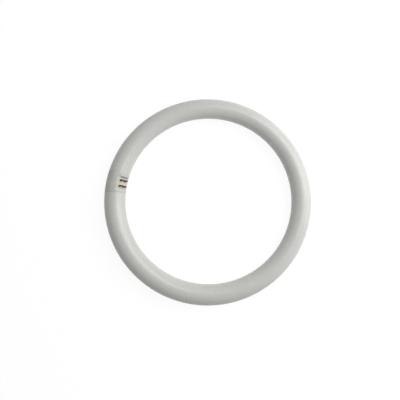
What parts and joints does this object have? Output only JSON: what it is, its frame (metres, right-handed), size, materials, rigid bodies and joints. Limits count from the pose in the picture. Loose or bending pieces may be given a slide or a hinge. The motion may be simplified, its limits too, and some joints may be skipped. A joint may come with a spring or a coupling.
{
  "type": "circular fluorescent tube",
  "caption": "Ring-shaped white glass discharge lamp with a short moulded cap and slanted contact pins on its inner side.",
  "frame": {"origin": "centre of the ring, in the middle of the tube's thickness", "axes": "+Z along the ring's axis, up from the surface it lies on; -Y towards the cap; +X along the tube at the cap"},
  "size_m": [0.299, 0.2989, 0.029],
  "materials": {
    "coated_glass": "smooth gloss glass over a white inner coating",
    "cap_plastic": "satin moulded",
    "pin_brass": "drawn, slightly dulled",
    "lead_wire": "bare plated wire"
  },
  "bodies": {
    "root": {"glass_tube": "coated_glass", "cap_pin_half": "cap_plastic", "cap_back_half": "cap_plastic", "pin_1": "pin_brass", "pin_2": "pin_brass", "pin_3": "pin_brass", "pin_4": "pin_brass", "lead_wire_1": "lead_wire", "lead_wire_2": "lead_wire", "lead_wire_3": "lead_wire", "lead_wire_4": "lead_wire"}
  },
  "joints": []
}
